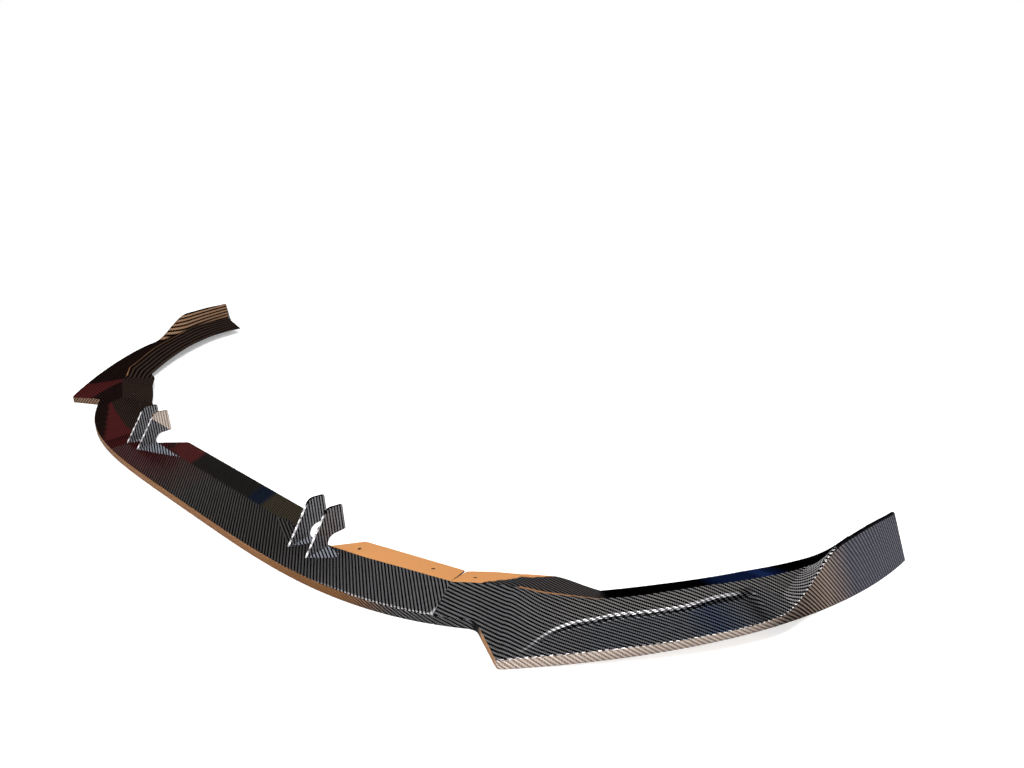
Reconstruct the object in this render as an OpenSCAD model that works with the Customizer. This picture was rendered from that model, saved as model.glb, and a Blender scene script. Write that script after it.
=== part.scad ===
// Front splitter lip: a centre panel with two pairs of fins, and two side panels with
// a blade corner and an upswept wing end. It lies on its bottom edges on z = 0.
// X runs along the lip, Y from its front to its rear and Z up, from the middle of its foot.
// Below, every Y is measured from the front edge, and each panel is moved at the end.

/* [Centre panel] */
// Half the length of the centre panel, from its middle to the seam
seam_x = 549; // [400:1:650]
// How far the front edge has swept back at the seam
seam_sweep = 69; // [20:1:100]
// How sharply the front edge turns back towards its ends
sweep_power = 4; // [2:0.5:6]
// Height of the band along the front edge
band_h = 13.5; // [10:0.5:24]
// Height of the flat front deck, behind the band
deck_z = 12.8; // [9:0.1:20]
// Distance from the front edge to the rear edge, between the two pairs of fins
rear_y = 107; // [85:1:140]
// Height of the rear edge between the two pairs of fins
rear_z = 22.5; // [16:0.5:40]
// Half the length of the straight rear edge between the two pairs of fins
rear_corner_x = 197; // [120:1:230]
// How far back the V cut behind the fins reaches, from the front edge
notch_y = 73; // [60:1:85]

/* [Fins] */
// Place of the inner fin of each pair, from the middle
fin_inner_x = 264; // [235:1:280]
// Distance between the two fins of a pair
fin_pitch = 46; // [30:1:60]
// Thickness of a fin
fin_t = 4.2; // [3:0.1:8]
// Front foot of a fin, from the front edge
fin_foot_y = 38; // [25:1:45]
// Front end of a fin's short top edge
fin_top_y = 80; // [70:1:90]
// Rear side of a fin
fin_rear_y = 107; // [100:1:130]
// Top of a fin
fin_top_z = 73.5; // [50:0.5:110]
// Height at which a fin's rear side is cut away
fin_cut_z = 30.5; // [26:0.5:45]
// How far the flare at an inner fin's foot runs towards the middle
flare_mid = 96; // [30:1:100]
// How far the flare at an outer fin's foot runs towards the seam
flare_side = 50; // [20:1:55]
// How far the flares between two fins of a pair run out
flare_pair = 20; // [8:1:24]

/* [Ridge and seam] */
// How far the seam has turned in towards the middle where it meets the ridge
seam_turn = 21; // [5:1:40]
// Ridge at the seam, from the front edge
ridge_seam_y = 119; // [105:1:140]
// Ridge height at the seam
ridge_seam_z = 28.4; // [20:0.1:40]
// Ridge height at its shoulder, where the rear flange ends
shoulder_z = 40; // [30:0.5:50]
// Ridge height along the blade
ridge_z = 34.6; // [28:0.1:45]
// Gap in the seam between two panels
seam_gap = 0.4; // [0.3:0.1:2]
// How far the gap opens along the rear flanges
flange_gap = 4; // [1:0.5:10]

/* [Side panels] */
// Length of the front edge from the seam to the blade's root
root_run = 48; // [20:1:80]
// How far the blade's front corner stands out from its root
corner_run = 73; // [40:1:120]
// Front corner of the blade, from the front edge
corner_y = 62; // [40:1:90]
// Height of the blade at its front corner
corner_z = 12; // [8:0.5:20]
// Height of the blade where the ramp begins
ramp_foot_z = 25.5; // [18:0.5:32]
// Half the overall length at the top of the wing
wing_x = 903; // [820:1:1000]
// Top end of the wing, from the front edge
wing_y = 555; // [480:1:640]
// Top of the wing
wing_top_z = 76.5; // [60:0.5:110]
// How far the wing's foot stands outside its top
wing_flare = 14; // [0:1:30]
// Depth of the pocket in the blade
pocket_d = 4.5; // [1:0.5:6]

/* [Rear flange] */
// Width of the flange from the seam to the shoulder
flange_w = 58; // [30:1:70]
// Width of the flange along the blade
flange_side_w = 45; // [25:1:60]
// Width of the flange at the wing tip
flange_tip_w = 55; // [35:1:70]
// Height of the flange's inner edge at the seam
flange_seam_z = 9; // [5:0.5:16]
// Diameter of the screw holes
screw_d = 5; // [3:0.1:8]

/* [Wall] */
// Wall thickness
wall = 3; // [2:0.1:4]

/* [Hidden] */

film_black = [0.06, 0.06, 0.07];
eps = 0.01;

// The front edge, and the height of a level sheet's underside
function front_y(x) = seam_sweep * pow(abs(x) / seam_x, sweep_power);
sheet = wall * 1.07;
edge_r = 1.5;

// Places along the lip, from the middle
fin_outer_x = fin_inner_x + fin_pitch;
ridge_seam_x = seam_x - seam_turn;
root_x = seam_x + root_run;
corner_x = root_x + corner_run;
wing_foot_x = wing_x + wing_flare;

// The fold where the centre's rear flange starts, and the flange's two free corners
fold_x = fin_outer_x + 73;
fold_y = 89;
fold_z = 19.5;
flange_start_z = 14.5;
flange_corner = [fin_outer_x + 34, 117, 17];
flange_seam = [ridge_seam_x - 29, ridge_seam_y + 48, flange_seam_z];
outer_notch_y = notch_y + 5;

// Screw holes: x and y of each on the right half
centre_screws = [[fin_outer_x + 44.5, 98.5], [ridge_seam_x - 52.5, ridge_seam_y + 13.5]];
side_screws = [[ridge_seam_x + 13, ridge_seam_y + 30]];

// Moves a panel from the front edge's measure to the middle of the whole lip
module in_place() {
    translate([0, -(wing_y + wing_lean) / 2, 0]) children();
}

// Small helpers
function mix(a, b, t) = a + (b - a) * t;
function clamp(t) = min(1, max(0, t));
function smooth(t) = let (u = clamp(t)) u * u * (3 - 2 * u);
function plan(v) = [v[0], v[1], 0];
function unit(v) = v / norm(v);
function left_of(v) = [-v[1], v[0], 0];
function down(p, d) = p - [0, 0, d];

// Closed skin round a run of sections. Each section is [outer points, inner points], and
// the n-th outer point faces the n-th inner one through the wall.
module skin(sections) {
    m = len(sections[0][0]);
    n = len(sections);
    ring = 2 * m;
    points = [for (s = sections) each concat(s[0], [for (k = [m - 1:-1:0]) s[1][k]])];
    sides = [for (i = [0:n - 2], k = [0:ring - 1])
        let (a = i * ring + k, b = i * ring + (k + 1) % ring, c = b + ring, d = a + ring)
        each [[a, b, c], [a, c, d]]];
    function cap(base) = [for (k = [0:m - 2])
        let (a = base + k, b = a + 1, c = base + ring - 2 - k, d = c + 1)
        each [[a, c, b], [a, d, c]]];
    last = [for (f = cap((n - 1) * ring)) [f[0], f[2], f[1]]];
    polyhedron(points, concat(sides, cap(0), last), convexity = 12);
}

// Centre panel: one section at x, signed, with the ridge drawn in towards the seam
function ridge_x(a) = a <= fold_x ? a
    : mix(fold_x, ridge_seam_x, (a - fold_x) / (seam_x - fold_x));
function rear_line(r) = [
    r,
    lookup(r, [[0, rear_y], [rear_corner_x, rear_y], [fin_inner_x, notch_y],
        [fin_outer_x, outer_notch_y], [fold_x, fold_y], [ridge_seam_x, ridge_seam_y]]),
    lookup(r, [[0, rear_z], [rear_corner_x, rear_z], [fin_inner_x, flange_start_z],
        [fin_outer_x, flange_start_z], [fold_x, fold_z], [ridge_seam_x, ridge_seam_z]])];
// The crease behind the flat deck, as a part of the way from the front edge to the rear one.
// Outside the fins it leaves the deck's height and rises a part of the way to the ridge.
crease_mid = 0.71;
crease_fins = 0.9;
crease_seam = 0.6;
function crease_part(r) = lookup(r, [[0, crease_mid], [fin_inner_x - flare_mid, crease_mid],
    [fin_inner_x, crease_fins], [fin_outer_x, crease_fins], [fold_x, crease_mid],
    [ridge_seam_x, crease_seam]]);
function crease_rise(r) = lookup(r, [[fin_outer_x, 0], [fold_x, 0.5], [ridge_seam_x, 0.6]]);
function inner_edge(r, rear) =
    r <= fin_outer_x ? rear + [0, edge_r, -edge_r / 2] :
    r <= fold_x ? mix(rear_line(fin_outer_x) + [0, edge_r, -edge_r / 2], flange_corner,
        (r - fin_outer_x) / (fold_x - fin_outer_x)) :
    mix(flange_corner, flange_seam, (r - fold_x) / (ridge_seam_x - fold_x));

function centre_top(a) =
    let (r = ridge_x(a), rear = rear_line(r), front = [a, front_y(a), band_h],
        c = crease_part(r), crease = mix(front, rear, c),
        crease_z = mix(deck_z, rear[2], crease_rise(r)))
    [front, [crease[0], crease[1], crease_z], rear, inner_edge(r, rear)];

function centre_section(x) =
    let (a = abs(x), t = centre_top(a), f = t[0], side = x < 0 ? -1 : 1,
        n = unit(plan(t[2] - f)),
        outer = [plan(f), down(f, edge_r), f + edge_r * n, t[1], t[2], t[3]],
        inner = [plan(f) + wall * n, down(f, sheet + edge_r) + wall * n,
            down(f, sheet) + (wall + edge_r) * n, down(t[1], sheet), down(t[2], sheet),
            down(t[3], sheet)])
    [for (row = [outer, inner]) [for (p = row) [side * p[0], p[1], p[2]]]];

// Stations of the centre panel, closer together where its outline turns
corner_ease = 8;
half_stations = concat(
    [0, rear_corner_x / 2, rear_corner_x - corner_ease, rear_corner_x,
        mix(rear_corner_x, fin_inner_x, 0.5), fin_inner_x, fin_outer_x, mix(fin_outer_x, fold_x, 0.5), fold_x],
    [for (k = [1:6]) mix(fold_x, seam_x - seam_gap / 2, k / 6)]);
centre_stations = concat([for (k = [len(half_stations) - 1:-1:1]) -half_stations[k]],
    half_stations);

// A fin: a raked blade with a rounded front corner, cut away behind its foot
fin_front_round = [6, 12];
fin_top_run = [11, -1.5];
fin_rear_drop = 3.5;
fin_rear_round = 3;
fin_cut_lip = 4;
module fin() {
    base = deck_z - wall / 2;
    cut_y = notch_y + 2;
    cut_r = fin_cut_z - deck_z - fin_cut_lip;
    cut_mid = [cut_y + cut_r, fin_cut_z - cut_r];
    corner = [fin_top_y, fin_top_z];
    front = corner - fin_front_round;
    rear = [fin_rear_y, fin_top_z - fin_rear_drop];
    rotate([90, 0, 90]) linear_extrude(fin_t, center = true)
        difference() {
            polygon(concat(
                [[fin_foot_y - 1, base], [fin_foot_y, deck_z]],
                [for (k = [0:5]) let (t = k / 5)
                    mix(mix(front, corner, t), mix(corner, corner + fin_top_run, t), t)],
                [rear - [fin_rear_round, 0], rear - [0, fin_rear_round], [fin_rear_y, base]]));
            translate(cut_mid) circle(r = cut_r, $fn = 48);
            translate([cut_mid[0], 0]) square([fin_rear_y, fin_cut_z]);
            translate([cut_y, 0]) square([fin_rear_y, cut_mid[1]]);
        }
}

// The flare at a fin's foot: a shallow three-sided facet that runs out to one side
flare_h = 4;
flare_root = 2;
module flare(x, reach) {
    top = [[x, fin_foot_y, deck_z + 0.1], [x, notch_y + 1, deck_z + flare_h],
           [x + reach, notch_y + 2, deck_z + 0.3]];
    low = [for (p = top) down(p, flare_root)];
    order = reach > 0;
    faces = [[0, 1, 2], [5, 4, 3], [0, 3, 4], [0, 4, 1], [1, 4, 5], [1, 5, 2], [2, 5, 3], [2, 3, 0]];
    polyhedron(concat(top, low), order ? faces : [for (f = faces) [f[2], f[1], f[0]]]);
}

module screw_holes(places) {
    for (p = places) translate([p[0], p[1], -eps]) cylinder(h = 2 * shoulder_z, d = screw_d, $fn = 32);
}

module centre_panel() {
    color(film_black) in_place() difference() {
        union() {
            skin([for (x = centre_stations) centre_section(x)]);
            for (side = [0, 1]) mirror([side, 0, 0]) {
                translate([fin_inner_x, 0, 0]) fin();
                translate([fin_outer_x, 0, 0]) fin();
                flare(fin_inner_x, -flare_mid);
                flare(fin_inner_x, flare_pair);
                flare(fin_outer_x, -flare_pair);
                flare(fin_outer_x, flare_side);
            }
        }
        for (side = [0, 1]) mirror([side, 0, 0]) screw_holes(centre_screws);
    }
}

// Side panel. Station s runs 0 at the seam, 1 at the blade's root, 2 at its front corner,
// 3 at the foot of the ramp and 4 at the wing tip.
foot_x = wing_x - 26;
foot_y = corner_y + 274;
wing_slope = (wing_x - foot_x) / (wing_y - foot_y);
blade_power = 1.45;
root_z = band_h + 1;

// How the edge's height runs: quickly up from the corner, then up the ramp, then off at the tip
rise_power = 0.6;
ramp_run = 108;
ramp_ease = 3;
tip_run = 65;
tip_drop = 3;
function edge_z(y) =
    let (t = clamp((y - corner_y) / (foot_y - corner_y)))
    mix(corner_z, ramp_foot_z, pow(t, rise_power))
    + (wing_top_z - ramp_foot_z) * smooth((y - foot_y + ramp_ease) / ramp_run)
    - tip_drop * smooth((y - wing_y + tip_run) / tip_run);

// The bright top edge of the outer face
function edge(s) =
    s <= 1 ? let (x = mix(seam_x, root_x, s)) [x, front_y(x), mix(band_h, root_z, s)] :
    s <= 2 ? mix([root_x, front_y(root_x), root_z], [corner_x, corner_y, corner_z], s - 1) :
    s <= 3 ? let (t = s - 2, run = foot_y - corner_y, y = corner_y + run * t,
            bulge = foot_x - wing_slope * run - corner_x)
        [foot_x - wing_slope * (foot_y - y) - bulge * pow(1 - t, blade_power), y, edge_z(y)] :
    let (y = mix(foot_y, wing_y, s - 3)) [mix(foot_x, wing_x, s - 3), y, edge_z(y)];

// The ridge behind the blade, by its distance from the front edge. Behind its shoulder it
// has swells, each with its start, its length and its rise.
shoulder = [ridge_seam_x + 76, ridge_seam_y + 32, shoulder_z];
ridge_root = [ridge_seam_x + 40, ridge_seam_y + 17, mix(ridge_seam_z, shoulder_z, 0.6)];
shoulder_run = 22;
knee = [corner_x + 30, ridge_seam_y + 86];
ridge_tip = wing_x - 4.5;
ridge_power = 1.68;
ridge_lag = 1.12;
ridge_swells = [[225, 80, 5], [380, 60, 2.5], [430, wing_y - 430, -9.3]];
function sum(v, i = 0) = i < len(v) ? v[i] + sum(v, i + 1) : 0;
function ridge_line(y) = [
    y < knee[1] ? mix(shoulder[0], knee[0], (y - shoulder[1]) / (knee[1] - shoulder[1]))
        : ridge_tip - (ridge_tip - knee[0])
            * pow(1 - (y - knee[1]) / (wing_y - knee[1]), ridge_power),
    y,
    mix(shoulder_z, ridge_z, smooth((y - shoulder[1]) / shoulder_run))
        + sum([for (w = ridge_swells) w[2] * smooth((y - w[0]) / w[1])])];
function along(s) = clamp((edge(s)[1] - corner_y) / (wing_y - corner_y));
function ridge(s) =
    s <= 1 ? mix([ridge_seam_x, ridge_seam_y, ridge_seam_z], ridge_root, s) :
    s <= 2 ? mix(ridge_root, shoulder, s - 1) :
    ridge_line(mix(shoulder[1], wing_y, pow(along(s), ridge_lag)));

// The bottom edge, all of it on z = 0
foot_power = 1.97;
wing_lean = 16.5;
function bottom(s) =
    s <= 2 ? plan(edge(s)) :
    let (t = along(s), y = mix(corner_y, wing_y + wing_lean, t))
    [wing_foot_x - (wing_foot_x - corner_x) * pow(1 - t, foot_power), y, 0];

// Inward direction of a curve at s, seen from above. At the seam it runs along the seam.
step = 0.004;
ridge_step = 0.02;
function inward(curve_a, curve_b) = left_of(unit(plan(curve_b - curve_a)));
function seam_mix(s, n) = unit(mix(unit(plan(ridge(s) - edge(s))), n, smooth(s * 1.5)));
function edge_in(s) = seam_mix(s, inward(edge(max(0, s - step)), edge(min(4, s + step))));
function bottom_in(s) = seam_mix(s, inward(bottom(max(0, s - step)), bottom(min(4, s + step))));
function ridge_in(s) = inward(ridge(max(0, s - ridge_step)), ridge(min(4, s + ridge_step)));

// The flange's free edge. The flange folds down at fold_s, and runs narrower from narrow_s on.
fold_s = 2.13;
narrow_s = 2.3;
widen_s = 3.45;
function flange_reach(s) =
    mix(flange_w, flange_side_w, smooth((s - fold_s) / (narrow_s - fold_s)))
    + (flange_tip_w - flange_side_w) * smooth((s - widen_s) / (4 - widen_s));
function flange_z(s) = lookup(s, [[0, flange_seam_z], [1, 14.5], [2, 18.5], [fold_s, 20.5],
    [narrow_s, 14.8], [2.6, 18], [3, 20.7], [3.5, 18.5], [4, 15.3]]);
function flange_edge(s) =
    let (p = ridge(s) + flange_reach(s) * ridge_in(s), q = [p[0], p[1], flange_z(s)])
    mix(flange_seam + [flange_gap, 0, 0], q, smooth(s));

// The two lines that run along the blade's top. In the blade they are the foot and the crest
// of the pocket's wall, and on the ramp both sides of the rounded valley at its foot. Each is
// a part of the way from the edge to the ridge.
pocket_in = 2.08;
pocket_out = 2.89;
pocket_end = pocket_out + 0.05;
pocket_ease = 0.2;
pocket_wall = 0.07;
crest_start = 0.08;
crest_run = 0.32;
crest_to = 0.7;
valley_from = 3.05;
valley_to = 3.3;
valley_low = 0.35;
valley_high = 0.95;
valley_power = 1.3;
valley_ease = 0.06;
valley_half = 0.04;
function valley_part(s) = s < valley_from
    ? mix(crest_to, valley_low, smooth((s - pocket_end) / (valley_from - pocket_end)))
    : mix(valley_low, valley_high,
        pow(clamp((s - valley_from) / (valley_to - valley_from)), valley_power));
function crest_part(s) = s < pocket_end
    ? crest_to * (1 - pow(1 - clamp((s - pocket_in) / crest_run), 2))
        + crest_start * (1 - smooth(s - 2))
    : valley_part(s) + valley_half;
function foot_part(s) = s < pocket_end ? max(crest_part(s) - pocket_wall, 0.03)
    : valley_part(s) - 2 * valley_half;
function pocket(s) = pocket_d * smooth((s - pocket_in) / pocket_ease)
    * (1 - smooth((s - pocket_out) / (pocket_end - pocket_out)));
// How far the valley lies under the straight line from edge to ridge
valley_slope = 0.25;
function valley(s) =
    let (e = edge(s), r = ridge(s), flat = r[2] - valley_slope * norm(plan(r - e)))
    max(0, e[2] - flat) * (1 - valley_part(s))
        * smooth((s - valley_from + valley_ease) / (valley_ease + 0.02))
        * (1 - smooth((s - valley_to) / valley_ease));

// How wide the wing's top edge is, and how high the hollow behind its face reaches
wing_edge_w = 4.5;
hollow_gap = 1.2;
hollow_from = 3.2;
hollow_run = 0.42;
function top_w(s) = mix(edge_r, wing_edge_w, smooth((s - 3) / 0.5));
function hollow_top(s) = mix(edge(s)[2] - sheet - edge_r * smooth((s - valley_from) / 0.1),
    ridge(s)[2] - sheet - hollow_gap, smooth((s - hollow_from) / hollow_run));

function side_section(s) =
    let (e = edge(s), n = edge_in(s), r = ridge(s), g = flange_edge(s), b = bottom(s),
        e2 = e + top_w(s) * n, c1 = foot_part(s), c2 = crest_part(s),
        v = valley_part(s), drop1 = pocket(s) + valley(s) * c1 / v,
        drop2 = valley(s) * (1 - c2) / (1 - v),
        h = hollow_top(s), a = e + (wall + edge_r) * n, a2 = [a[0], a[1], h],
        wall_line = mix(b, e, clamp((h - edge_r) / e[2])), w = wall_line + wall * n,
        r2 = down(r, sheet))
    [[b, down(e, edge_r), e2, down(mix(e2, r, c1), drop1), down(mix(e2, r, c2), drop2), r, g],
     [b + wall * bottom_in(s), [w[0], w[1], h - edge_r], a2,
      down(mix(a2, r2, c1), drop1), down(mix(a2, r2, c2), drop2), r2, down(g, sheet)]];

// Stations of the side panel, closer together at the pocket's ends and along the ramp
side_stations = concat([seam_gap / 2 / (root_x - seam_x), 0.5, 1, 1.33, 1.67, 2],
    [fold_s, 2.18, 2.24, narrow_s, 2.37, 2.46, 2.56, 2.67, 2.78, pocket_out, pocket_end, 2.99],
    [valley_from, 3.09, 3.13, 3.18, 3.23, 3.28, 3.33, 3.38, 3.45, 3.54, 3.65, 3.76, 3.88, 4]);

module side_panel() {
    color(film_black) in_place() difference() {
        skin([for (s = side_stations) side_section(s)]);
        screw_holes(side_screws);
    }
}

module right_side_panel() { side_panel(); }
module left_side_panel() { mirror([1, 0, 0]) side_panel(); }

centre_panel();
left_side_panel();
right_side_panel();
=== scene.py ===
import math
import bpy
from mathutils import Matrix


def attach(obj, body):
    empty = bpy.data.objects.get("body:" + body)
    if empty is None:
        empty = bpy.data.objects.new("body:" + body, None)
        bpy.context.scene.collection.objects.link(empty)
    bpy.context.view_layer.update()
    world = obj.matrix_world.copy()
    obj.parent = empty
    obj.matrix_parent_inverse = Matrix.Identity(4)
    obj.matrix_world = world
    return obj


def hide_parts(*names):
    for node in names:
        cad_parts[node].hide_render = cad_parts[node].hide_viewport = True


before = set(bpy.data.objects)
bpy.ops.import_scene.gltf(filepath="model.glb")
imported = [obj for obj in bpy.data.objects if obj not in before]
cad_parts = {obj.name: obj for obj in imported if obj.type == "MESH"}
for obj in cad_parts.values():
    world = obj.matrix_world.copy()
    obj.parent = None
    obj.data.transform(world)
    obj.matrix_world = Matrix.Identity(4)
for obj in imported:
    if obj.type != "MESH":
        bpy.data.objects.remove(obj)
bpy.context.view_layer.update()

from types import SimpleNamespace

import bmesh
import bpy
import numpy as np
from mathutils import Matrix, Vector

bl_info = {
    "name": "Front splitter lip",
    "version": (1, 0, 0),
    "blender": (4, 5, 0),
    "location": "View3D > Sidebar > Splitter",
    "description": "Builds a three-piece front lip in carbon-look film and its studio",
    "category": "Object",
}

MM = 0.001

# The outline in millimetres, as the CAD part has it. Every y is measured from the front edge
# and shifted at the end.
SEAM_X, SEAM_SWEEP, SWEEP_POWER = 549.0, 69.0, 4.0
BAND_H, DECK_Z = 13.5, 12.8
REAR_Y, REAR_Z, REAR_CORNER_X, NOTCH_Y = 107.0, 22.5, 197.0, 73.0
FIN_FOOT_Y, FIN_TOP_Y, FIN_REAR_Y, FIN_TOP_Z, FIN_CUT_Z = 38.0, 80.0, 107.0, 73.5, 30.5
FLARE_MID, FLARE_SIDE, FLARE_PAIR = 96.0, 50.0, 20.0
FIN_ROUNDING, FIN_CREST, FLARE_DEPTH = 0.9, 9.0, 2.0
# A slanted line across a fin, where one fin's painted warm reflection begins: a point on it, and
# its normal
FIN_LINE_AT, FIN_LINE = (76.0, 62.0), (1.125, 1.0)
RIDGE_SEAM = np.array([528.0, 119.0, 28.4])
SHOULDER = np.array([604.0, 151.0, 40.0])
RIDGE_ROOT = np.array([568.0, 136.0, RIDGE_SEAM[2] + 0.6 * (SHOULDER[2] - RIDGE_SEAM[2])])
RIDGE_Z, KNEE, RIDGE_TIP = 34.6, (700.0, 205.0), 898.5
# Where the ridge rises or falls towards the wing: by how much, from where and over what run
RIDGE_STEPS = ((5, 225, 80), (2.5, 380, 60), (-9.3, 430, 125))
# How far the kinks at the root and at the corner are rounded, before and after, in stations
EDGE_SOFT, RIDGE_SOFT = ((0.21, 0.12), (0.06, 0.014)), ((0.3, 0.3), (0.12, 0.06))
SEAM_GAP, FLANGE_GAP, WALL = 0.4, 4.0, 3.0
SHEET = WALL * 1.07
ROOT_X, CORNER_X, CORNER_Y, CORNER_Z = 597.0, 670.0, 62.0, 12.0
ROOT_Z = BAND_H + 1
FOOT_X, FOOT_Y, RAMP_FOOT_Z = 877.0, 336.0, 25.5
WING_X, WING_Y, WING_TOP_Z, WING_FOOT_X, WING_LEAN = 903.0, 555.0, 76.5, 917.0, 16.5
WING_SLOPE = (WING_X - FOOT_X) / (WING_Y - FOOT_Y)
RAMP_RUN, TIP_DROP, TIP_RUN = 108.0, 3.0, 65.0
POCKET_D, POCKET_IN, POCKET_OUT, POCKET_END = 4.5, 2.08, 2.89, 2.94
# Where the pocket's crest and the valley lie, as parts of the way from the edge to the ridge
CREST_TO, VALLEY_LOW, VALLEY_HIGH = 0.7, 0.35, 0.95
VALLEY_FROM, VALLEY_TO = 3.05, 3.3
FLANGE_W, FLANGE_SIDE_W, FLANGE_TIP_W, FLANGE_SEAM_Z = 58.0, 45.0, 55.0, 9.0
FOLD_S, NARROW_S, WIDEN_S, CORNER_S = 2.13, 2.3, 3.45, 2.001
# The centre panel's fold and the free corner of its flange, beyond the outer fin
FOLD_RUN, FREE_CORNER = 73.0, (34, 117, 17.0)
# Where the crease behind the deck lies, as a part of the way to the rear edge
CREASE, CREASE_AT_FINS, CREASE_AT_SEAM = 0.71, 0.9, 0.6
FLANGE_SEAM = np.array([499.0, 167.0, FLANGE_SEAM_Z])
SHIFT_Y = -(WING_Y + WING_LEAN) / 2
# How much finer the weave is drawn on the centre panel and on the fins
CENTRE_WEAVE, FIN_WEAVE = 5.0 / 4.35, 1.1
# How much coarser it is drawn on the far panel's flange and inside its wing
FAR_FLANGE_WEAVE, FAR_WING_WEAVE = 0.6, 0.64
# The stripes' angles to x, in degrees
FLANGE_ANGLE, CENTRE_ANGLE, STRIP_ANGLE, FLARE_ANGLE = -7, -33.5, -73, -21
STRIP_HALF = REAR_CORNER_X + 30
SIDE_HOLE, CENTRE_HOLES = (541.0, 149.0), ((354.5, 98.5), (475.5, 132.5))

# The painted red reflections, the wedge and the patch, lie inside these lines, each a, b and c of a
# x + b y > c
RED_WEDGE = ((1, 0.35, 652), (-0.458, -1, -442))
RED_PATCH = ((0.444, 1, -145.4), (-0.31, -1, 44.7), (-1, 0, 352))

# How bright a tow is on average, and how dark and how bright across its width
TOW_SHADE, TOW_DARKEST, TOW_BRIGHTEST = 0.436, 0.04, 1.0
# Each panel's material slots
FILM, BARE, SATIN = 0, 1, 2

# The photograph's camera, solved from matching points of the lip's two halves: its angles and
# the object's lean in degrees, its place in metres and its lens in millimetres
CAMERA_TURN, CAMERA_TILT, CAMERA_ROLL, CAMERA_LEAN = 45.77, 18.24, -1.03, 3.16
CAMERA_PLACE, CAMERA_LENS = (1.2827, -0.75335, 0.6452), 30.54
# Each lamp's name, place, target and size in metres, and its power in watts
LAMPS = (("overhead", (0.6, 0.0, 2.4), (0.4, 0, 0), (1.5, 0.7), 72),
         ("front_left", (-2.3, -2.2, 0.95), (0, 0, 0), (0.8, 0.5), 42),
         ("right", (2.6, -1.6, 1.9), (0.4, 0, 0), (0.9, 0.9), 58))
FLOOR_HALF, FLOOR_DROP = 14.0, 0.0002


def from_hex(code):
    """An sRGB hex colour as linear red, green and blue."""
    parts = [int(code[i:i + 2], 16) / 255 for i in (0, 2, 4)]
    return tuple(c / 12.92 if c <= 0.04045 else ((c + 0.055) / 1.055) ** 2.4 for c in parts)


# Small helpers, the same as the CAD part's
def mix(a, b, t):
    return a + (b - a) * t


def clamp(t):
    return min(1.0, max(0.0, t))


def smooth(t):
    u = clamp(t)
    return u * u * (3 - 2 * u)


def unit(v):
    return v / max(np.linalg.norm(v), 1e-9)


def plan(v):
    return np.array([v[0], v[1], 0.0])


def down(v, d):
    return v - np.array([0.0, 0.0, d])


def front_y(x):
    return SEAM_SWEEP * (abs(x) / SEAM_X) ** SWEEP_POWER


def softened(curve, corner, before, after):
    """The curve with its kink at the corner rounded off, from corner - before to corner + after."""
    def rounded(s):
        if not corner - before < s < corner + after:
            return curve(s)
        t = 0.5 * (s - corner + before) / before if s < corner else 0.5 + 0.5 * (s - corner) / after
        a, b, c = curve(corner - before), curve(corner), curve(corner + after)
        return mix(mix(a, b, t), mix(b, c, t), t)
    return rounded


# The side panel. Station s runs 0 at the seam, 1 at the blade's root, 2 at its front corner,
# 3 at the foot of the ramp and 4 at the wing tip.
def edge_height(y):
    t = clamp((y - CORNER_Y) / (FOOT_Y - CORNER_Y))
    return (mix(CORNER_Z, RAMP_FOOT_Z, t ** 0.6)
            + (WING_TOP_Z - RAMP_FOOT_Z) * smooth((y - FOOT_Y + 3) / RAMP_RUN)
            - TIP_DROP * smooth((y - WING_Y + TIP_RUN) / TIP_RUN))


def sharp_edge(s):
    if s <= 1:
        x = mix(SEAM_X, ROOT_X, s)
        return np.array([x, front_y(x), mix(BAND_H, ROOT_Z, s)])
    if s <= 2:
        root = np.array([ROOT_X, front_y(ROOT_X), ROOT_Z])
        return mix(root, np.array([CORNER_X, CORNER_Y, CORNER_Z]), s - 1)
    if s <= 3:
        t, run = s - 2, FOOT_Y - CORNER_Y
        y = CORNER_Y + run * t
        bulge = FOOT_X - WING_SLOPE * run - CORNER_X
        x = FOOT_X - WING_SLOPE * (FOOT_Y - y) - bulge * (1 - t) ** 1.45
        return np.array([x, y, edge_height(y)])
    y = mix(FOOT_Y, WING_Y, s - 3)
    return np.array([mix(FOOT_X, WING_X, s - 3), y, edge_height(y)])


def eased(curve, reaches):
    """The curve with its kinks at the root and at the corner rounded off."""
    return softened(softened(curve, 1, *reaches[0]), 2, *reaches[1])


edge = eased(sharp_edge, EDGE_SOFT)


def ridge_line(y):
    if y < KNEE[1]:
        x = mix(SHOULDER[0], KNEE[0], (y - SHOULDER[1]) / (KNEE[1] - SHOULDER[1]))
    else:
        left = max(0.0, 1 - (y - KNEE[1]) / (WING_Y - KNEE[1]))
        x = RIDGE_TIP - (RIDGE_TIP - KNEE[0]) * left ** 1.68
    z = mix(SHOULDER[2], RIDGE_Z, smooth((y - SHOULDER[1]) / 22))
    for rise, start, run in RIDGE_STEPS:
        z += rise * smooth((y - start) / run)
    return np.array([x, y, z])


def along(s):
    return clamp((sharp_edge(s)[1] - CORNER_Y) / (WING_Y - CORNER_Y))


def sharp_ridge(s):
    if s <= 1:
        return mix(RIDGE_SEAM, RIDGE_ROOT, s)
    if s <= 2:
        return mix(RIDGE_ROOT, SHOULDER, s - 1)
    return ridge_line(mix(SHOULDER[1], WING_Y, along(s) ** 1.12))


ridge = eased(sharp_ridge, RIDGE_SOFT)


def sharp_bottom(s):
    if s <= 2:
        return plan(sharp_edge(s))
    t = along(s)
    return np.array([WING_FOOT_X - (WING_FOOT_X - CORNER_X) * (1 - t) ** 1.97,
                     mix(CORNER_Y, WING_Y + WING_LEAN, t), 0.0])


bottom = eased(sharp_bottom, EDGE_SOFT)


def inward(curve, s, step):
    v = unit(plan(curve(min(4.0, s + step)) - curve(max(0.0, s - step))))
    return np.array([-v[1], v[0], 0.0])


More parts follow.
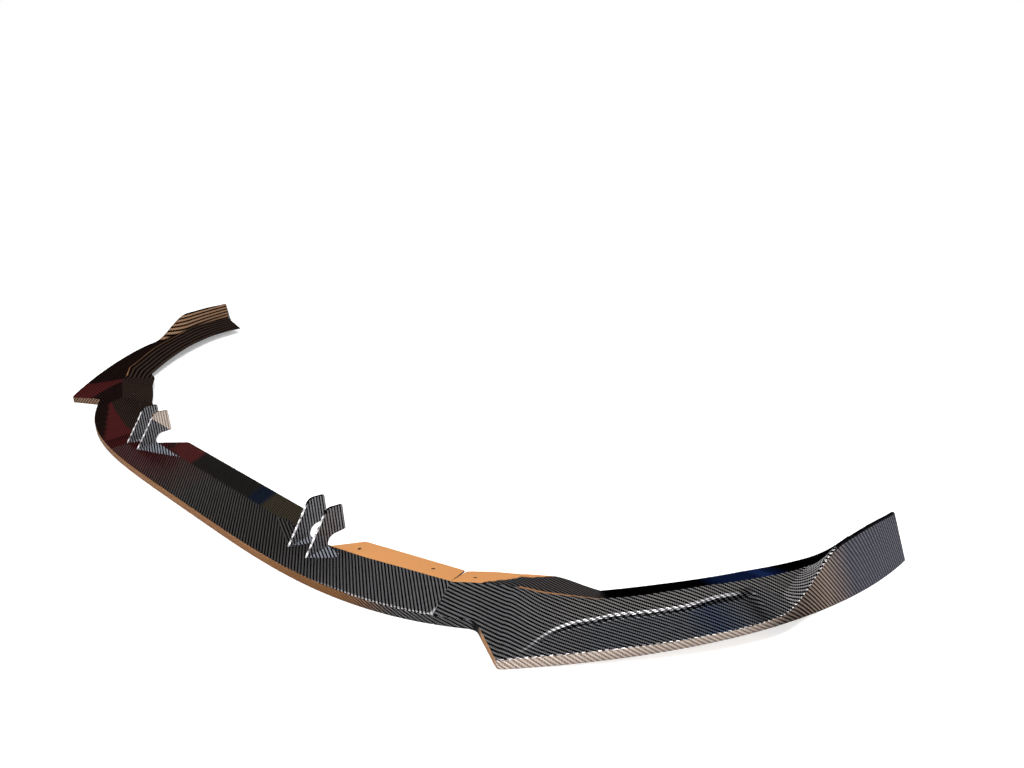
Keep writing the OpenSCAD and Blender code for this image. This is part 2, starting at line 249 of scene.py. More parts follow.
def seam_mix(s, n):
    """Square to the curve, but along the seam at the seam, so that two panels meet face to face."""
    return unit(mix(unit(plan(ridge(s) - edge(s))), n, smooth(s * 1.5)))


def flange_edge(s):
    reach = (mix(FLANGE_W, FLANGE_SIDE_W, smooth((s - FOLD_S) / (NARROW_S - FOLD_S)))
             + (FLANGE_TIP_W - FLANGE_SIDE_W) * smooth((s - WIDEN_S) / (4 - WIDEN_S)))
    z = np.interp(s, [0, 1, 2, FOLD_S, NARROW_S, 2.6, 3, 3.5, 4],
                  [FLANGE_SEAM_Z, 14.5, 18.5, 20.5, 14.8, 18, 20.7, 18.5, 15.3])
    p = sharp_ridge(s) + reach * inward(sharp_ridge, s, 0.02)
    start = FLANGE_SEAM + np.array([FLANGE_GAP, 0, 0])
    return mix(start, np.array([p[0], p[1], z]), smooth(s))


def folded(s):
    """The flange's station beside ridge station s. It runs ahead to the fold and waits there,
    so that the fold goes from the shoulder to the flange's outer corner."""
    return float(np.interp(s, [0, 1.6, 2.0, FOLD_S, 4], [0, 1.6, FOLD_S - 0.004, FOLD_S, 4]))


def valley_part(s):
    if s < VALLEY_FROM:
        return mix(CREST_TO, VALLEY_LOW, smooth((s - POCKET_END) / (VALLEY_FROM - POCKET_END)))
    t = clamp((s - VALLEY_FROM) / (VALLEY_TO - VALLEY_FROM))
    return mix(VALLEY_LOW, VALLEY_HIGH, t ** 1.3)


def crest_shift(s):
    return smooth((s - 2.12) / 0.2) * (1 - smooth((s - 2.6) / 0.2))


def crest_part(s):
    if s < POCKET_END:
        return (CREST_TO * (1 - (1 - clamp((s - POCKET_IN) / 0.32)) ** 2)
                + 0.08 * (1 - smooth(s - 2)) - 0.11 * crest_shift(s))
    return valley_part(s) + 0.04


def foot_part(s):
    if s < POCKET_END:
        return max(crest_part(s) - 0.07 + 0.05 * crest_shift(s), 0.03)
    return valley_part(s) - 0.08


def pocket(s):
    return (POCKET_D * smooth((s - POCKET_IN) / 0.2)
            * (1 - smooth((s - POCKET_OUT) / (POCKET_END - POCKET_OUT))))


def valley(s):
    e, r = edge(s), ridge(s)
    flat = r[2] - 0.25 * np.linalg.norm(plan(r - e))
    return (max(0.0, e[2] - flat) * (1 - valley_part(s)) * smooth((s - VALLEY_FROM + 0.06) / 0.08)
            * (1 - smooth((s - VALLEY_TO) / 0.06)))


def side_corners(s):
    """The corners round the wall's section at s, from the middle of the foot over the outside."""
    e, r, b, g = edge(s), ridge(s), bottom(s), flange_edge(folded(s))
    n = seam_mix(s, inward(edge, s, 0.004))
    n_low = seam_mix(s, inward(bottom, s, 0.004))
    top_w = mix(1.5, 4.5, smooth((s - 3) / 0.5))
    c1, c2, v = foot_part(s), crest_part(s), valley_part(s)
    drop1 = pocket(s) + valley(s) * c1 / v
    drop2 = valley(s) * (1 - c2) / (1 - v)
    e2 = e + top_w * n
    line = down(mix(e2, r, c1), drop1)
    e2 = mix(e + 3.0 * unit(line - e), e2, smooth((s - 3) / 0.4))
    high = mix(e[2] - SHEET - 1.5 * smooth((s - VALLEY_FROM) / 0.1), r[2] - SHEET - 1.2,
               smooth((s - 3.2) / 0.42))
    a = e + (WALL + 1.5) * n
    a2 = np.array([a[0], a[1], high])
    w = mix(b, e, clamp((high - 1.5) / e[2])) + WALL * n
    w[2] = high - 1.5
    r2, g2 = down(r, SHEET), down(g, SHEET)
    b2 = b + WALL * n_low
    return [mix(b, b2, 0.5), b, e, e2, line, down(mix(e2, r, c2), drop2), r, g, mix(g, g2, 0.5), g2,
            r2, down(mix(a2, r2, c2), drop2), down(mix(a2, r2, c1), drop1), a2, w, b2]


# How far each corner's rounding reaches, its points, and the points on the way to the next one
SIDE_COUNTS = [1, 3, 7, 3, 5, 6, 9, 4, 1, 3, 4, 2, 2, 2, 2, 2]
SIDE_SPANS = [0, 5, 1, 6, 3, 6, 9, 0, 0, 4, 3, 1, 3, 0, 2, 0]


def side_reach(s, fillet):
    soft_ridge = mix(mix(5.0, 13.0, smooth((s - 1.2) / 0.5)), 3.0, smooth((s - 2.1) / 0.25))
    soft_ridge = mix(soft_ridge, 5.0, smooth((s - 3.1) / 0.3))
    return [0, 0.5, fillet, 1.4, 2.2, 2.6, soft_ridge, 0.9, 0, 0.9, 2, 1, 1, 1, 0.5, 0.5]


def section_ring(corners, reaches, counts, spans):
    """A closed ring of points round the corners, each rounded off, always as many."""
    n = len(corners)
    ring = []
    for i in range(n):
        before, here, after = corners[i - 1], corners[i], corners[(i + 1) % n]
        back, ahead = np.linalg.norm(before - here), np.linalg.norm(after - here)
        near = min(reaches[i], 0.49 * back, 0.49 * ahead)
        p, q = here + near * unit(before - here), here + near * unit(after - here)
        if counts[i] == 1:
            ring.append(here)
        else:
            for k in range(counts[i]):
                t = k / (counts[i] - 1)
                ring.append(mix(mix(p, here, t), mix(here, q, t), t))
        following = min(reaches[(i + 1) % n], 0.49 * ahead,
                        0.49 * np.linalg.norm(corners[(i + 2) % n] - after))
        end = after + following * unit(here - after)
        span = np.linalg.norm(end - q)
        steps = spans[i]
        if steps:
            margin = min(0.9 / max(span, 1e-6), 0.2)
            for t in np.linspace(margin, 1 - margin, steps) if steps > 1 else [0.5]:
                ring.append(mix(q, end, float(t)))
    return ring


def corner_starts(counts, spans):
    """Where each corner's rounding begins in the ring, and its middle."""
    starts, middles, at = [], [], 0
    for count, span in zip(counts, spans):
        starts.append(at)
        middles.append(at + count // 2)
        at += count + span
    return starts, middles


def loft(rings):
    """Quads round a run of rings, with a flat cap on each end."""
    m, size = len(rings), len(rings[0])
    points = np.array(rings).reshape(-1, 3)
    i, k = np.meshgrid(np.arange(m - 1), np.arange(size), indexing="ij")
    a = i * size + k
    b = i * size + (k + 1) % size
    quads = np.stack([a, a + size, b + size, b], -1).reshape(-1, 4)
    first = list(range(size))
    last = [(m - 1) * size + j for j in reversed(range(size))]
    return points, [tuple(q) for q in quads.tolist()] + [tuple(first), tuple(last)]


def eased_ends(rings, amount=0.5):
    """Rounds the rims of a loft's two ends by drawing their last rings in by this many mm."""
    for index, step in ((0, 1), (len(rings) - 1, -1)):
        ring = np.array(rings[index])
        axis = unit(np.array(rings[index + step]).mean(0) - ring.mean(0))
        tangent = np.roll(ring, -1, 0) - np.roll(ring, 1, 0)
        side = np.cross(tangent, axis)
        side /= np.maximum(np.linalg.norm(side, axis=1)[:, None], 1e-9)
        area = np.cross(ring - ring.mean(0), np.roll(ring, -1, 0) - ring.mean(0)).sum(0) @ axis
        side *= 1 if area > 0 else -1
        rings[index] = list(ring - side * amount)
    return rings


def part_mesh(name, points, faces):
    mesh = bpy.data.meshes.new(name)
    moved = (np.asarray(points) + np.array([0, SHIFT_Y, 0])) * MM
    mesh.from_pydata(moved.tolist(), [], faces)
    mesh.validate()
    return mesh


def outwards(mesh):
    """Turns every face outwards, after doubled points are merged."""
    work = bmesh.new()
    work.from_mesh(mesh)
    bmesh.ops.remove_doubles(work, verts=work.verts, dist=2e-6)
    bmesh.ops.recalc_face_normals(work, faces=work.faces)
    work.to_mesh(mesh)
    work.free()


def sizes():
    return bpy.context.scene.splitter_sizes


# The film. Each zone has the way its stripes run and its two stripe colours; many of these colours
# are painted reflections, painted highlights or painted shade.
def stripe_table():
    colours = bpy.context.scene.splitter_colours
    return SimpleNamespace(**{key: np.array(getattr(colours, key)[:3]) for key in FILM_COLOURS})


# Painted reflections: the pocket's blue, the blade's band and root face, beside the ramp, the wing,
# the inner wing, the seam and side flanges, the front band, the rear strip's tints, the far band,
# the far deck's red and the flares. Painted highlights: the ridge and the rims. Painted shade: the
# far blade's light stripe.
FILM_COLOURS = {
    "tow_dark": ("Dark stripe", "020203"),
    "top_light": ("Light stripe on the tops", "777678"),
    "crest_light": ("Light stripe behind the pocket", "7f7d7c"),
    "pocket_light": ("Light stripe in the pocket", "6e7074"),
    "pocket_blue": ("Painted blue reflection at the pocket's far end", "4e5870"),
    "deck_light": ("Light stripe on the deck", "504e4c"),
    "band_dark": ("Dark stripe on the blade's band, painted warm as a reflection", "ac9584"),
    "band_light": ("Light stripe on the blade's band, painted warm as a reflection", "fff0e4"),
    "root_face": ("Painted warm reflection on the face between root and corner", "c08855"),
    "ramp_dark": ("Dark stripe beside the ramp", "0c0807"),
    "ramp_light": ("Light stripe beside the ramp, painted warm as a reflection", "8a7568"),
    "wing_dark": ("Dark stripe on the wing, painted warm as a reflection", "5c4e49"),
    "wing_light": ("Light stripe on the wing, painted warm as a reflection", "b8a498"),
    "tip_dark": ("Dark stripe at the wing tip", "44444c"),
    "tip_light": ("Light stripe at the wing tip", "767682"),
    "inner_tan": ("Painted warm reflection inside the wing", "c49a7a"),
    "ridge_tan": ("Painted highlight along the ridge", "b08058"),
    "flange_warm": ("Painted warm reflection on the seam flange", "f9b070"),
    "flange_brown": ("Stripe on the side flange", "4a3b33"),
    "flange_blue": ("Painted blue reflection on the side flange", "0e1a38"),
    "front_band": ("Painted warm reflection on the front band", "b07a4c"),
    "rear_light": ("Light stripe on the rear strip", "2a2724"),
    "rear_blue": ("Painted blue reflection on the rear strip", "1b2638"),
    "rear_olive": ("Painted olive reflection on the rear strip", "4a4336"),
    "far_band_dark": ("Dark stripe on the far band, painted warm as a reflection", "573a29"),
    "far_band_light": ("Light stripe on the far band, painted warm as a reflection", "ad8f7b"),
    "rim_light": ("Painted highlight on the rims", "ece9ec"),
    "red_tint": ("Painted red reflection on the far deck", "642c2c"),
    "far_light": ("Light stripe on the far blade, painted darker as shade", "2e201d"),
    "fin_light": ("Light stripe on the fins", "a6a5a9"),
    "flare_light": ("Painted reflection on the flares' light stripes", "b4b8c4"),
    "under": ("Bare underside", "101012"),
}


def paint(mesh, uv, colours):
    """Writes the film's map in millimetres and both stripe colours on the mesh's corners."""
    film = mesh.uv_layers.new(name="film")
    film.data.foreach_set("uv", np.asarray(uv, dtype=np.float32).ravel())
    for name, column in zip(("stripe_dark", "stripe_light"), colours):
        layer = mesh.color_attributes.new(name=name, type="FLOAT_COLOR", domain="CORNER")
        rgba = np.ones((len(mesh.loops), 4), dtype=np.float32)
        rgba[:, :3] = column
        layer.data.foreach_set("color", rgba.ravel())


def corners_of(mesh):
    """The point of each face corner in millimetres from the front edge, and its face and vertex."""
    points = np.empty(len(mesh.vertices) * 3)
    mesh.vertices.foreach_get("co", points)
    points = points.reshape(-1, 3) / MM - np.array([0, SHIFT_Y, 0])
    vertex = np.empty(len(mesh.loops), dtype=np.int64)
    mesh.loops.foreach_get("vertex_index", vertex)
    totals = np.empty(len(mesh.polygons), dtype=np.int64)
    mesh.polygons.foreach_get("loop_total", totals)
    return points[vertex], np.repeat(np.arange(len(totals)), totals), vertex


def ramp_of(x, table):
    """Colours along x, from a table of places and their colours."""
    places, colours = zip(*table)
    return np.stack([np.interp(x, places, channel) for channel in np.array(colours).T], -1)


def between(x, low, high):
    """Whether each x is at least low and below high."""
    return (x >= low) & (x < high)


def inside_lines(p, lines):
    """Whether each point, seen from above, is on the inner side of all the lines."""
    return np.all([a * p[:, 0] + b * p[:, 1] > c for a, b, c in lines], axis=0)


def directed(p, angle):
    """A map laid flat from above, its stripes at an angle to x."""
    a = math.radians(angle)
    return np.stack([p[:, 0] * math.cos(a) + p[:, 1] * math.sin(a),
                     -p[:, 0] * math.sin(a) + p[:, 1] * math.cos(a)], -1)


def lofted(name, rings, counts, spans):
    """A closed shell through the rings: its mesh, each face corner's point, ring and row, each
    face's ring and row, and the rows where the section's corners start and have their middles."""
    points, faces = loft(eased_ends(rings))
    size = len(rings[0])
    mesh = part_mesh(name, points, faces)
    p, face, vertex = corners_of(mesh)
    face_row = np.arange(len(faces)) % size
    face_row[-2:] = size - 1
    starts, middles = corner_starts(counts, spans)
    return SimpleNamespace(
        mesh=mesh, p=p, ring=vertex // size, row=face_row[face], face_row=face_row,
        face_ring=np.arange(len(faces)) // size, starts=starts, middles=middles)


def linked(name, data):
    """A new object in the current collection."""
    made = bpy.data.objects.new(name, data)
    bpy.context.collection.objects.link(made)
    return made


def film_shell(shell, satin_from, under_from, mirrored=False):
    """Gives the shell's faces their materials, turns them outwards and makes the object."""
    mesh, rows = shell.mesh, shell.face_row
    kinds = np.select([rows >= under_from, rows >= satin_from], [BARE, SATIN], FILM)
    mesh.polygons.foreach_set("material_index", kinds.astype(np.int32))
    mesh.polygons.foreach_set("use_smooth", np.arange(len(rows)) < len(rows) - 2)
    if mirrored:
        mesh.transform(Matrix.Scale(-1, 4, (1, 0, 0)))
    outwards(mesh)
    for material in (film_material(), bare_material(), satin_material()):
        mesh.materials.append(material)
    return linked(mesh.name, mesh)


SIDE_STATIONS = np.concatenate([
    [SEAM_GAP / 2 / (ROOT_X - SEAM_X), 0.012],
    *[np.linspace(*run) for run in (
        (0.04, 0.78, 18), (0.8, 1.14, 26), (1.17, 1.92, 34), (1.935, 2.02, 22), (2.03, 2.5, 64),
        (2.508, 2.86, 40), (2.865, 2.96, 20), (2.968, 3.4, 60), (3.41, 3.99, 56))],
    [3.997, 4.0]])


def from_ridge(shell):
    """How far each face corner lies from the ridge, seen from above."""
    ridges = np.array([ridge(t) for t in SIDE_STATIONS])
    return np.linalg.norm((shell.p - ridges[shell.ring])[:, :2], axis=1)


def side_zones(shell):
    """Which face corners lie on the outer face, on the tops and on the flange."""
    row, starts, middles = shell.row, shell.starts, shell.middles
    return (row < middles[2], between(row, middles[2], middles[6]),
            between(row, middles[6], starts[8]))


def summed(steps):
    """The running total of the steps, from 0."""
    return np.concatenate([[0], np.cumsum(steps)])


def side_map(near, shell):
    """Where each face corner lies on the film, in millimetres."""
    p, ring = shell.p, shell.ring
    s = SIDE_STATIONS[ring]
    outer, top, flange = side_zones(shell)
    # The tops: stripes nearly along x, turning a little along the blade
    step = 2.0
    xs = np.arange(480.0, 960.0, step)
    turn = np.interp(xs, [549, 600, 650, 700, 760, 800, 900], [3, 5, 8, 14, 16, 11, 9])
    climb = np.cumsum(np.tan(np.radians(turn))) * step
    # Between seam and corner the film bridges the hollow at the root, so its stripes stay straight
    at_root = np.array([smooth((2.06 - t) / 0.1) for t in SIDE_STATIONS])[ring]
    hollow = (p[:, 2] - (0.3 * p[:, 1] - 7.6)) * at_root
    across = p[:, 0] - 1.08 * hollow
    uv = np.stack([across, p[:, 1] + 0.92 * hollow - np.interp(across, xs, climb)], -1)
    # The outer face: stripes slant down it, steeper and finer towards the wing
    run = summed([np.linalg.norm(edge(b) - edge(a))
                  for a, b in zip(SIDE_STATIONS, SIDE_STATIONS[1:])])
    slant = np.radians(np.interp(SIDE_STATIONS, [0, 0.8, 1.1, 2.0, 2.9, 3.1, 3.4, 3.6, 3.8],
                                 [24, 26, 40, 43, 45, 50, 62, 73, 82]))
    finer = np.interp(SIDE_STATIONS, [3.1, 3.4], [1.0, 1.2])
    gain, phase = (summed(np.diff(run) * finer[1:] * part((slant[1:] + slant[:-1]) / 2))
                   for part in (np.cos, np.sin))
    uv[outer] = np.stack([gain[ring] - p[:, 2] * (finer * np.sin(slant))[ring],
                          phase[ring] + p[:, 2] * (finer * np.cos(slant))[ring]], -1)[outer]
    uv[flange] = directed(p, FLANGE_ANGLE)[flange]
    # The wing's inner side: stripes run along it
    wing_from = VALLEY_TO if near else VALLEY_FROM
    inner_wing = top & (s > wing_from) & (shell.row >= shell.middles[3])
    uv[inner_wing] = np.stack([run[ring], p[:, 2]], -1)[inner_wing]
    if not near:
        # The far panel's stripes are drawn coarser, lengthways on the flange and inside the wing
        lengthways = flange & (s > 2.0)
        beside = FAR_FLANGE_WEAVE * np.stack([run[ring], from_ridge(shell)], -1)
        uv[lengthways] = beside[lengthways]
        uv[inner_wing] *= FAR_WING_WEAVE
    return uv


def side_colours(near, shell):
    """Both stripe colours at each face corner of a side panel, by its station and its row, with
    painted reflections, highlights and shade.
    """
    s, row, starts, middles = SIDE_STATIONS[shell.ring], shell.row, shell.starts, shell.middles
    tone = stripe_table()
    # The far panel's light stripes are painted darker, as shade
    black, top_tone = tone.tow_dark, tone.top_light if near else tone.far_light
    outer, top, flange = side_zones(shell)
    dark, light = (np.tile(colour, (len(s), 1)) for colour in (black, top_tone))
    on_ramp = top & (s > VALLEY_FROM)
    if near:
        pocket, crest = tone.pocket_light, tone.crest_light
        # Painted blue reflection towards the pocket's far end
        light = ramp_of(s, [(2.1, top_tone), (2.3, pocket), (2.6, pocket), (2.72, tone.pocket_blue),
                            (2.86, pocket), (3.0, top_tone)])
        behind = top & (row >= middles[5])
        to_crest = [(2.05, top_tone), (2.25, crest), (3.0, crest), (4, top_tone)]
        light[behind] = ramp_of(s, to_crest)[behind]
        # The ramp's inner face takes a fifth of the painted highlight in its light stripes
        light[on_ramp & (row < middles[5])] = mix(crest, tone.rim_light, 0.2)
        # Painted shade at the pocket's far end
        pocket_end_shade = np.interp(s, [2.84, 2.9, 2.96], [0, 0.65, 0])
        light *= 1 - (between(row, starts[3], starts[6] - 5) * pocket_end_shade)[:, None]
        # The pocket's wall gets painted shade: its light stripes at a third
        shaded_pocket_wall = between(row, middles[4], starts[5]) & (s > 2.12) & (s < POCKET_OUT)
        light[shaded_pocket_wall] = 0.3 * pocket
    else:
        # Inside the far wing and up the ramp: a painted warm reflection, going brown lower down
        low = np.interp(row, [middles[3], starts[4], starts[5], middles[6]], [0, 0.2, 0.9, 1])
        light[on_ramp] = mix(tone.inner_tan, 0.7 * tone.flange_brown, low[:, None])[on_ramp]
    # The outer face, along the blade's band and up the ramp to the wing tip, with painted warm
    # reflections on the band, the root face and the wing
    band_light = [(0.9, tone.top_light)]
    if near:
        root = [(1.16, black), (1.3, tone.root_face), (1.9, tone.root_face)]
        band_dark = [*root, (2.0, tone.band_dark)]
        band_light += [(1.02, black), *root, (2.0, tone.band_light)]
    else:
        band_dark = [(0.9, black), (1.02, tone.far_band_dark), (2.0, tone.far_band_dark)]
        band_light += [(1.02, tone.far_band_light), (2.0, tone.far_band_light)]
    band_dark += [(2.85, tone.band_dark), (3.0, tone.ramp_dark), (3.12, tone.ramp_dark),
                  (3.3, tone.wing_dark), (3.5, tone.tip_dark)]
    band_light += [(2.8, tone.band_light), (3.0, tone.ramp_light), (3.12, tone.ramp_light),
                   (3.3, tone.wing_light), (3.5, tone.tip_light)]
    dark[outer], light[outer] = ramp_of(s, band_dark)[outer], ramp_of(s, band_light)[outer]
    # Low on the wing the painted warm reflection gives way and the dark stripes go deeper
    deep = outer * np.interp(s, [3.05, 3.15, 3.35, 3.55], [0, 0.85, 0.5, 0])
    deep *= np.interp(row, [starts[1] + 3, starts[2]], [1, 0])
    dark = mix(dark, tone.ramp_dark, deep[:, None])
    # The flange, at the seam and then along the side; on the near panel a painted warm reflection
    # at the seam and a painted blue reflection along the side, brighter in one patch
    at_seam, along_side = flange & (s < CORNER_S), flange & (s >= CORNER_S)
    if near:
        dark[at_seam] = light[at_seam] = tone.flange_warm
        blue, bright_blue = tone.flange_blue, 2 * tone.flange_blue
        shown = [(2.76, black), (2.84, blue), (3.0, blue), (3.03, bright_blue), (3.08, bright_blue),
                 (3.1, blue), (3.2, black)]
        greyer = 0.8 * mix(tone.flange_brown, tone.top_light, 0.5)
        dark[along_side] = ramp_of(s, shown)[along_side]
        shown = [(2.05, greyer), (2.28, greyer), (2.34, black), *shown]
        light[along_side] = ramp_of(s, shown)[along_side]
    else:
        light[flange] = tone.flange_brown
    # Painted highlights on the rims: along the edge, over the pocket's crest, up the ramp, and on
    # the ridge
    crest_rim = between(row, starts[5] + 1, starts[5] + 5)
    edge_rim = between(row, middles[2], starts[3])
    crest_glint = crest_rim * np.interp(s, [2.05, 2.18, 2.83, 2.88], [0, 1, 1, 0])
    glint = edge_rim * np.interp(s, [1.98, 2.0, 3.35, 3.42], [0, 1, 1, 0]) + crest_glint
    light = mix(light, tone.rim_light if near else tone.flange_brown, glint[:, None])
    upper_wing = outer & (row >= starts[2])
    upper_wing = upper_wing * np.interp(s, [3.3, 3.42, 3.96, 4], [0, 0.9, 0.9, 0.3])
    dark, light = (mix(colour, black, upper_wing[:, None]) for colour in (dark, light))
    if near:
        # The painted highlight over the crest lightens its dark stripes too
        dark = mix(dark, 0.16 * tone.rim_light, crest_glint[:, None])
    wing_rim = between(row, middles[2], middles[3]) & (s > 3.42)
    dark[wing_rim] = light[wing_rim] = black
    # A painted tan highlight along the ridge
    from_s, to_s = (2.02, 2.32) if near else (2.15, VALLEY_TO)
    line = (row == middles[6]) & (s > from_s) & (s < to_s)
    dark[line] = light[line] = tone.ridge_tan
    if near:
        # The flange's painted warm reflection ends in a curve; nearer the ridge the top's light
        # stripes go on at half brightness, as painted shade
        width = np.array([flange_edge(folded(t)) - ridge(t) for t in SIDE_STATIONS])
        width = np.linalg.norm(width[:, :2], axis=1)[shell.ring]
        part = np.interp(s, [1.0, 1.62, 1.96, 2.0], [0, 0.4, 0.75, 0.95])
        shade = at_seam & (s > 1.0) & (from_ridge(shell) < width * part)
        dark[shade], light[shade] = black, 0.5 * tone.top_light
    else:
        # A painted red reflection on the far panel's tops
        wedge = top & inside_lines(shell.p, RED_WEDGE)
        dark[wedge], light[wedge] = 0.35 * tone.red_tint, 0.9 * tone.red_tint
    under = row >= starts[8]
    dark[under] = light[under] = tone.under
    return dark, light


def side_panel(name, sign):
    """A side panel: a dense loft through rounded sections, mirrored for the left side."""
    near = sign > 0
    fillet = sizes().edge_rounding / MM
    rings = [section_ring(side_corners(s), side_reach(s, fillet), SIDE_COUNTS, SIDE_SPANS)
             for s in SIDE_STATIONS]
    shell = lofted(name, rings, SIDE_COUNTS, SIDE_SPANS)
    paint(shell.mesh, side_map(near, shell), side_colours(near, shell))
    return film_shell(shell, shell.middles[6 if near else 2], shell.starts[8], mirrored=not near)


# The centre panel, by the distance from its middle
def fin_places():
    """Where its inner fin, its outer fin and its fold are."""
    outer = (sizes().fin_place + sizes().fin_pitch) / MM
    return sizes().fin_place / MM, outer, outer + FOLD_RUN


def rear_line(r):
    inner, outer, fold = fin_places()
    at = [REAR_CORNER_X, inner, outer, fold, RIDGE_SEAM[0]]
    return np.array([r, np.interp(r, at, [REAR_Y, NOTCH_Y, NOTCH_Y + 5, 89, RIDGE_SEAM[1]]),
                     np.interp(r, at, [REAR_Z, 14.5, 14.5, 19.5, RIDGE_SEAM[2]])])


def centre_top(a):
    inner, outer, fold = fin_places()
    r = a if a <= fold else mix(fold, RIDGE_SEAM[0], (a - fold) / (SEAM_X - fold))
    front, rear = np.array([a, front_y(a), BAND_H]), rear_line(r)
    at = [inner - FLARE_MID, inner, outer, fold, RIDGE_SEAM[0]]
    parts = [CREASE, CREASE_AT_FINS, CREASE_AT_FINS, CREASE, CREASE_AT_SEAM]
    crease = mix(front, rear, np.interp(r, at, parts))
    crease[2] = mix(DECK_Z, rear[2], np.interp(r, [outer, fold, RIDGE_SEAM[0]], [0, 0.5, 0.6]))
    lip = np.array([0, 1.5, -0.75])
    free_corner = np.array([outer, 0, 0]) + FREE_CORNER
    if r <= outer:
        far = rear + lip
    elif r <= fold:
        far = mix(rear_line(outer) + lip, free_corner, (r - outer) / (fold - outer))
    else:
        far = mix(free_corner, FLANGE_SEAM, (r - fold) / (RIDGE_SEAM[0] - fold))
    return np.array([front, crease, rear, far])


def centre_corners(x):
    a, side = abs(x), math.copysign(1.0, x)
    steps = [-5, -2.5, 0, 2.5, 5] if a < SEAM_X - 6 else [0]
    front, crease, rear, far = sum(centre_top(abs(a + d)) for d in steps) / len(steps)
    front = np.array([a, front_y(a), BAND_H])
    n = unit(plan(rear - front))
    foot, foot_in = plan(front), plan(front) + WALL * n
    a2 = down(front, SHEET) + (WALL + 1.5) * n
    w = down(front, SHEET + 1.5) + WALL * n
    far_in = down(far, SHEET)
    row = [mix(foot, foot_in, 0.5), foot, front, crease, rear, far, mix(far, far_in, 0.5), far_in,
           down(rear, SHEET), down(crease, SHEET), a2, w, foot_in]
    return [np.array([side * q[0], q[1], q[2]]) for q in row]


CENTRE_COUNTS = [1, 3, 7, 5, 6, 4, 1, 3, 3, 3, 2, 2, 2]
CENTRE_SPANS = [0, 3, 9, 6, 7, 0, 0, 3, 3, 5, 0, 1, 0]


def centre_reach(a, fillet):
    soft_ridge = mix(1.2, 5.0, smooth((a - 400) / 90))
    return [0, 0.5, fillet, 3.0, soft_ridge, 0.9, 0, 0.9, 1, 2, 1, 0.5, 0.5]


def rounded_corner(before, corner, after, count):
    return [mix(mix(before, corner, t), mix(corner, after, t), t) for t in np.linspace(0, 1, count)]


def fin_blank():
    """One fin at x = 0: a raked blade with a rounded front corner, cut away behind its foot."""
    half = sizes().fin_thickness / 2
    corner, rear = np.array([FIN_TOP_Y, FIN_TOP_Z]), np.array([FIN_REAR_Y, FIN_TOP_Z - 3.5])
    base, cut_y = DECK_Z - WALL / 2, NOTCH_Y + 2
    radius = FIN_CUT_Z - DECK_Z - 4
    hollow = np.array([cut_y + radius, FIN_CUT_Z - radius])
    outline = [(FIN_FOOT_Y - 1, base), (FIN_FOOT_Y, DECK_Z),
               *rounded_corner(corner - [6, 12], corner, corner + [11, -1.5], 13),
               *rounded_corner(rear - [3, 0], rear, rear - [0, 3], 7), (FIN_REAR_Y, FIN_CUT_Z),
               *[hollow + radius * np.array([-math.sin(t), math.cos(t)])
                 for t in np.linspace(0, math.pi / 2, 14)], (cut_y, base)]
    work = bmesh.new()
    ring = [work.verts.new(Vector((-half, (y + SHIFT_Y) * MM, z * MM))) for y, z in outline]
    out = bmesh.ops.extrude_face_region(work, geom=[work.faces.new(ring)])
    moved = [v for v in out["geom"] if isinstance(v, bmesh.types.BMVert)]
    bmesh.ops.translate(work, verts=moved, vec=Vector((2 * half, 0, 0)))
    bmesh.ops.recalc_face_normals(work, faces=work.faces)
    rim = [e for e in work.edges if len(e.link_faces) == 2
           and e.calc_face_angle() > 0.9 and e.calc_length() > 1e-6
           and min(v.co.z for v in e.verts) > (base + 0.1) * MM]
    bmesh.ops.bevel(work, geom=rim, offset=FIN_ROUNDING * MM, segments=4, profile=0.5,
                    affect="EDGES")
    y, z = FIN_LINE_AT
    bmesh.ops.bisect_plane(work, geom=work.verts[:] + work.edges[:] + work.faces[:], dist=1e-7,
                           plane_co=Vector((0, (y + SHIFT_Y) * MM, z * MM)),
                           plane_no=Vector((0, *FIN_LINE)))
    mesh = bpy.data.meshes.new("fin_blank")
    work.to_mesh(mesh)
    work.free()
    for polygon in mesh.polygons:
        polygon.use_smooth = polygon.area < 60 * MM * MM
    p, face, _ = corners_of(mesh)
    tone = stripe_table()
    normals = np.array([mesh.polygons[f].normal[:] for f in face])
    light, dark = (np.tile(colour, (len(p), 1)) for colour in (tone.fin_light, tone.tow_dark))
    edge_on, high = np.abs(normals[:, 0]) < 0.9, p[:, 2] >= FIN_TOP_Z - FIN_CREST
    # Painted highlight along each fin's leading edge
    leading = edge_on & (normals[:, 1] < -0.3) & ~high
    light[leading] = dark[leading] = tone.rim_light
    light[edge_on & (normals[:, 2] > 0.3) & high] = tone.tow_dark
    paint(mesh, p[:, [2, 1]] * FIN_WEAVE, (dark, light))
    return linked("fin_blank", mesh)


def set_inputs(tree, node, inputs):
    """Sets a node's inputs, each to a value, a node's output or the first output of a node."""
    for key, value in inputs.items():
        if isinstance(value, bpy.types.Node):
            value = value.outputs[0]
        if isinstance(value, bpy.types.NodeSocket):
            tree.links.new(value, node.inputs[key])
        else:
            node.inputs[key].default_value = value


def add_node(tree, kind, inputs=None, **settings):
    """Adds a node with its settings and its inputs."""
    node = tree.nodes.new(kind)
    for key, value in settings.items():
        setattr(node, key, value)
    set_inputs(tree, node, inputs or {})
    return node


def new_geometry_tree(name, inputs):
    tree = bpy.data.node_groups.new(name, "GeometryNodeTree")
    for label, kind in {"Geometry": "Geometry", **inputs}.items():
        tree.interface.new_socket(label, in_out="INPUT", socket_type="NodeSocket" + kind)
    tree.interface.new_socket("Geometry", in_out="OUTPUT", socket_type="NodeSocketGeometry")
    return tree


